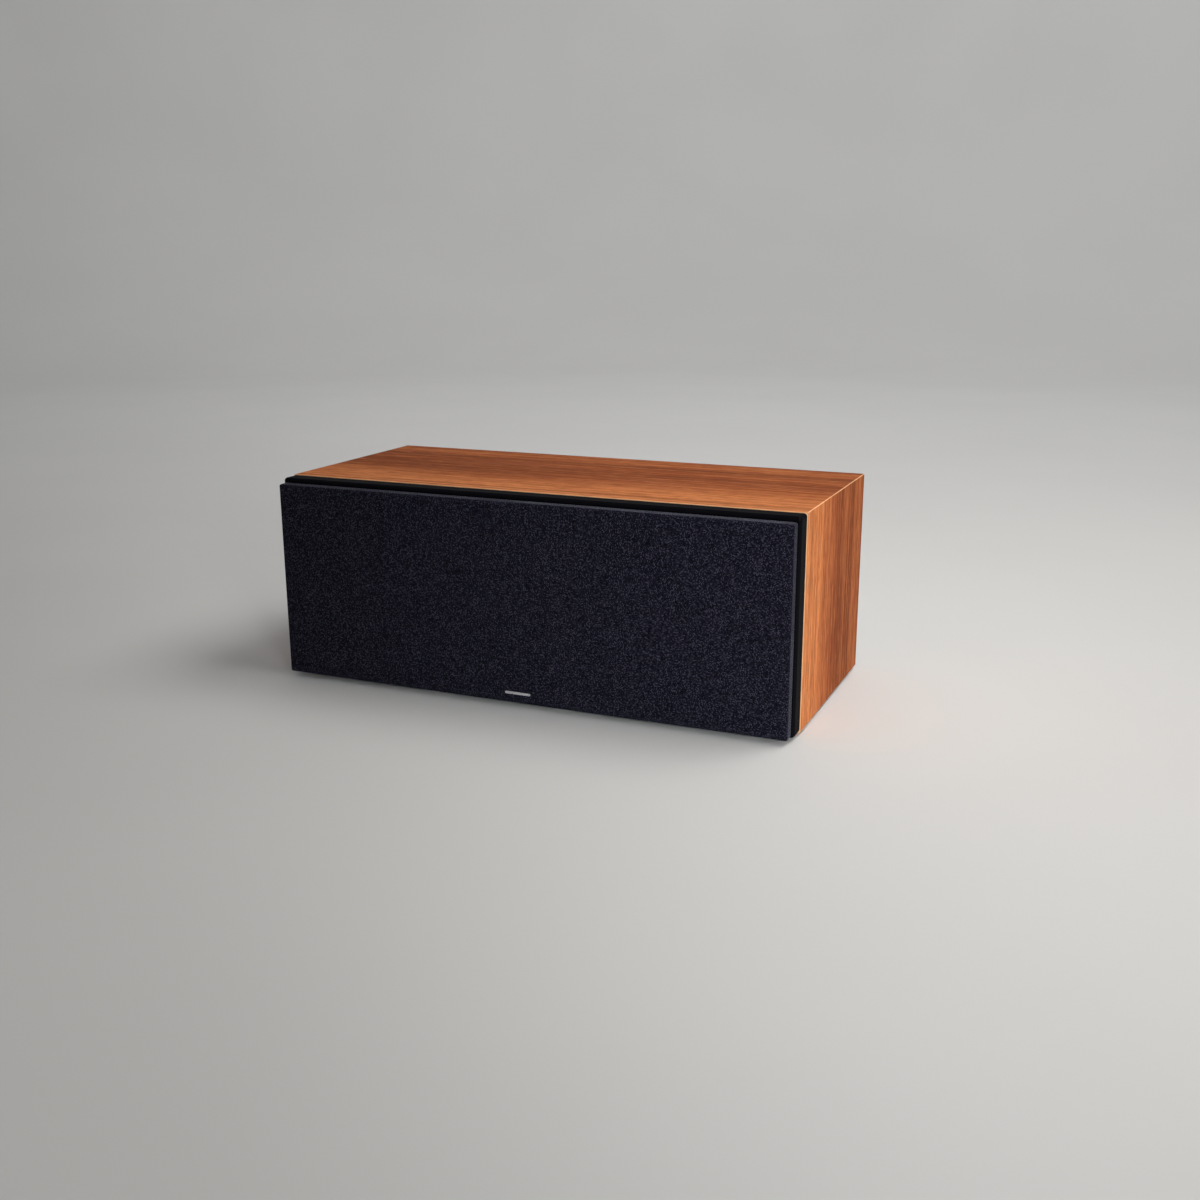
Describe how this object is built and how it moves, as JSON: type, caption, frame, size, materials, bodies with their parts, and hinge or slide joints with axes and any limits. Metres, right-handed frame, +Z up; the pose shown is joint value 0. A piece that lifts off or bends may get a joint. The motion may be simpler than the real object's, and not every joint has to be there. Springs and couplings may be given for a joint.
{
  "type": "center channel speaker",
  "caption": "Wide walnut loudspeaker box with a black front baffle, pull-off cloth grille, woofers either side of a tweeter, rear ports and binding posts.",
  "frame": {"origin": "middle of the overall footprint, on the surface that the rubber feet stand on", "axes": "+X to the right seen from the front, -Y towards the listener, +Z up"},
  "size_m": [0.5, 0.235, 0.192],
  "materials": {
    "walnut": "satin oiled walnut, grain running round the corners",
    "black_lacquer": "gloss black lacquer on board",
    "black_board": "satin black paint on board",
    "plain_board": "raw board",
    "foot_rubber": "matte",
    "grille_plastic": "matte moulded",
    "grille_cloth": "fine open weave",
    "socket_rubber": "matte",
    "cast_basket": "cast, painted satin black",
    "surround_rubber": "satin",
    "cone_paper": "pressed pulp, matte",
    "coil_metal": "plain",
    "spider_weave": "resin-stiffened weave",
    "plated_steel": "zinc plated",
    "ferrite": "ground",
    "faceplate_plastic": "satin moulded",
    "dome_weave": "coated weave",
    "motor_paint": "satin black",
    "port_plastic": "matte moulded",
    "cup_plastic": "matte moulded",
    "terminal_brass": "polished and plated",
    "red_knob": "gloss",
    "black_knob": "gloss",
    "board_green": "solder mask",
    "spacer_plastic": "plain",
    "coil_copper": "enamelled copper winding",
    "capacitor_plastic": "moulded",
    "fibre_pad": "loose fibre"
  },
  "bodies": {
    "cabinet": {"top_panel": "walnut", "bottom_panel": "walnut", "left_side_panel": "walnut", "right_side_panel": "walnut", "front_baffle": "black_lacquer", "rear_panel": "black_board", "left_brace": "plain_board", "right_brace": "plain_board", "rubber_feet": "foot_rubber", "grille_sockets": "socket_rubber", "woofer_baskets": "cast_basket", "woofer_surrounds": "surround_rubber", "woofer_spiders": "spider_weave", "woofer_top_plates": "plated_steel", "woofer_yokes": "plated_steel", "woofer_magnets": "ferrite", "tweeter_faceplate": "faceplate_plastic", "tweeter_dome": "dome_weave", "tweeter_motor": "motor_paint", "port_tubes": "port_plastic", "terminal_cup": "cup_plastic", "positive_post": "terminal_brass", "negative_post": "terminal_brass", "crossover_board": "board_green", "crossover_spacers": "spacer_plastic", "woofer_inductor": "coil_copper", "tweeter_inductor": "coil_copper", "capacitors": "capacitor_plastic", "left_damping_pad": "fibre_pad", "right_damping_pad": "fibre_pad"},
    "grille": {"grille_frame": "grille_plastic", "grille_cloth": "grille_cloth", "grille_pegs": "grille_plastic"},
    "cones": {"woofer_cones": "cone_paper", "woofer_voice_coils": "coil_metal"},
    "positive_washer": {"positive_clamp_washer": "terminal_brass"},
    "positive_knob": {"positive_knob": "red_knob"},
    "negative_washer": {"negative_clamp_washer": "terminal_brass"},
    "negative_knob": {"negative_knob": "black_knob"}
  },
  "joints": [
    {"name": "grille_pull", "type": "slide", "parent": "cabinet", "child": "grille", "axis": [0, -1, 0], "range_m": [0, 0.06]},
    {"name": "cone_travel", "type": "slide", "parent": "cabinet", "child": "cones", "axis": [0, -1, 0], "range_m": [-0.004, 0.004], "stiffness_N_per_m": 2000},
    {"name": "positive_washer_slide", "type": "slide", "parent": "cabinet", "child": "positive_washer", "axis": [0, 1, 0], "range_m": [0, 0.00401]},
    {"name": "positive_knob_turn", "type": "hinge", "parent": "positive_washer", "child": "positive_knob", "pos_m": [-0.019, 0.1, 0.0975], "axis": [0, 1, 0], "range_deg": [0, 1440]},
    {"name": "negative_washer_slide", "type": "slide", "parent": "cabinet", "child": "negative_washer", "axis": [0, 1, 0], "range_m": [0, 0.00401]},
    {"name": "negative_knob_turn", "type": "hinge", "parent": "negative_washer", "child": "negative_knob", "pos_m": [0.019, 0.1, 0.0975], "axis": [0, 1, 0], "range_deg": [0, 1440]}
  ],
  "couplings": [
    {"joint": "positive_washer_slide", "follows": "positive_knob_turn", "m_per_rad": 0.00015915},
    {"joint": "negative_washer_slide", "follows": "negative_knob_turn", "m_per_rad": 0.00015915}
  ]
}
